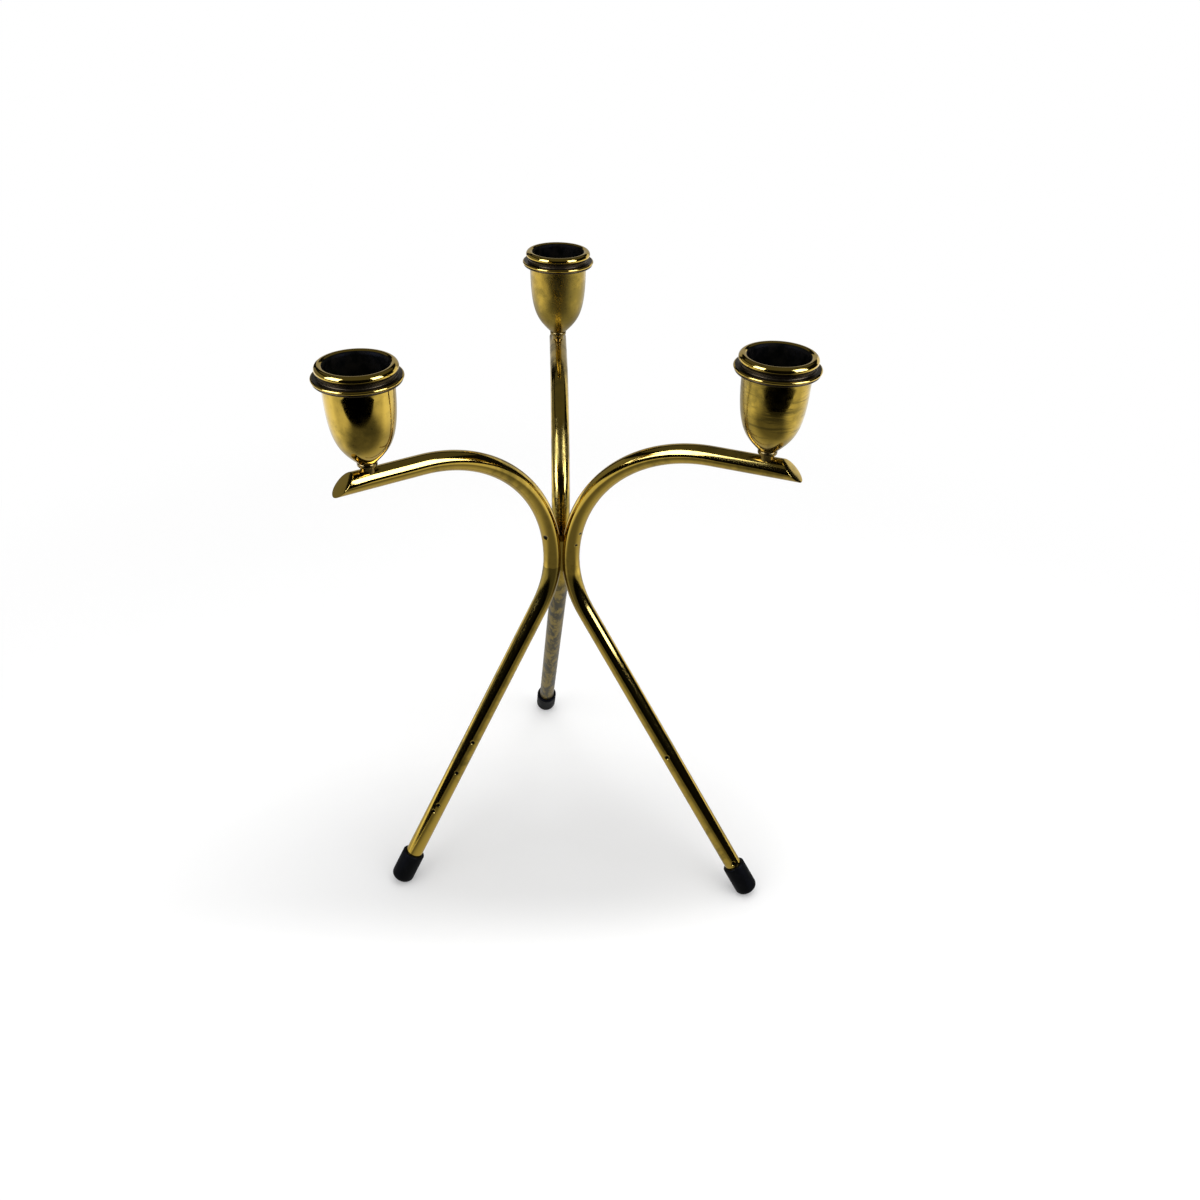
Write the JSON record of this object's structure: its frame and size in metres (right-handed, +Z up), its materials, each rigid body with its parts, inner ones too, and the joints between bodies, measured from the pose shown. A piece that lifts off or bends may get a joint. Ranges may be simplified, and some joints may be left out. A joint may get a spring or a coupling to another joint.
{
  "type": "three-arm candelabra",
  "caption": "Tripod candelabra of bent brass rods brazed at the waist, with rubber feet, tulip cups and loose candle rings.",
  "frame": {"origin": "on the table, on the vertical axis of the waist where the three rods meet", "axes": "+Z up along the waist's axis; +Y towards the rear arm; +X to the right, with the left and right arms at the front"},
  "size_m": [0.1821, 0.1675, 0.27],
  "materials": {
    "rod_brass": "hand-polished bar with olive tarnish",
    "cup_brass": "polished spun sheet, lightly tarnished",
    "turned_brass": "turned, dark in the grooves",
    "braze": "filed smooth",
    "screw_brass": "plain",
    "foot_rubber": "moulded black rubber"
  },
  "bodies": {
    "stand": {"left_rod": "rod_brass", "left_foot": "foot_rubber", "left_neck": "turned_brass", "left_cup": "cup_brass", "left_screw": "screw_brass", "left_washer": "screw_brass", "right_rod": "rod_brass", "right_foot": "foot_rubber", "right_neck": "turned_brass", "right_cup": "cup_brass", "right_screw": "screw_brass", "right_washer": "screw_brass", "rear_rod": "rod_brass", "rear_foot": "foot_rubber", "rear_neck": "turned_brass", "rear_cup": "cup_brass", "rear_screw": "screw_brass", "rear_washer": "screw_brass", "waist_braze": "braze"},
    "left_ring": {"left_candle_ring": "cup_brass"},
    "right_ring": {"right_candle_ring": "cup_brass"},
    "rear_ring": {"rear_candle_ring": "cup_brass"}
  },
  "joints": [
    {"name": "left_ring_lift", "type": "slide", "parent": "stand", "child": "left_ring", "axis": [0, 0, 1], "range_m": [0, 0.02]},
    {"name": "right_ring_lift", "type": "slide", "parent": "stand", "child": "right_ring", "axis": [0, 0, 1], "range_m": [0, 0.02]},
    {"name": "rear_ring_lift", "type": "slide", "parent": "stand", "child": "rear_ring", "axis": [0, 0, 1], "range_m": [0, 0.02]}
  ]
}
